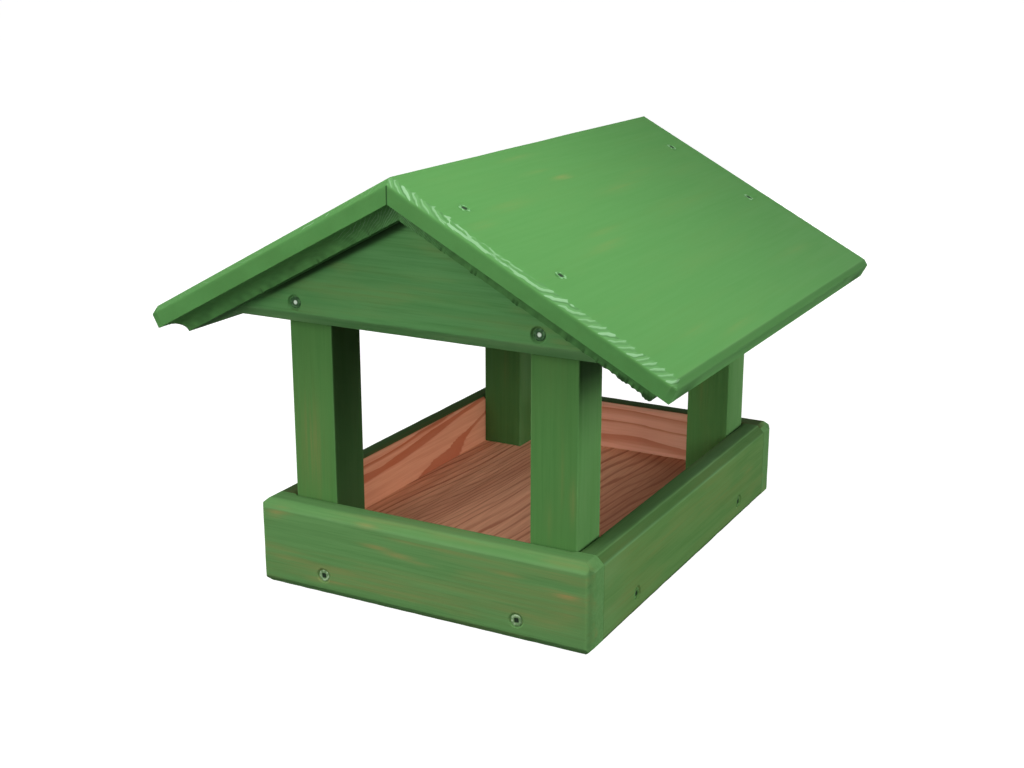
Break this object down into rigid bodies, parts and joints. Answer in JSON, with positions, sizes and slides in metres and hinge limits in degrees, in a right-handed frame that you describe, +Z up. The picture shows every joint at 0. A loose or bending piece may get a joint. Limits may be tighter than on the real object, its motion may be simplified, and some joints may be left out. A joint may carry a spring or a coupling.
{
  "type": "bird feeder",
  "caption": "Wooden table bird feeder: a shallow boarded tray with square corner posts that carry triangular gables and a pitched roof of mitred boards.",
  "frame": {"origin": "on the ground under the middle of the tray", "axes": "+Z up, -Y towards the front gable, +X to the right when the front is faced"},
  "size_m": [0.3378, 0.346, 0.2643],
  "materials": {
    "stained_wood": "green wood stain, satin",
    "plain_wood": "planed softwood, untreated"
  },
  "bodies": {
    "root": {"tray_front_board": "stained_wood", "tray_back_board": "stained_wood", "tray_left_board": "stained_wood", "tray_right_board": "stained_wood", "floor_board": "plain_wood", "post_front_left": "stained_wood", "post_front_right": "stained_wood", "post_back_left": "stained_wood", "post_back_right": "stained_wood", "front_gable": "stained_wood", "back_gable": "stained_wood", "left_roof_board": "stained_wood", "right_roof_board": "stained_wood"}
  },
  "joints": []
}
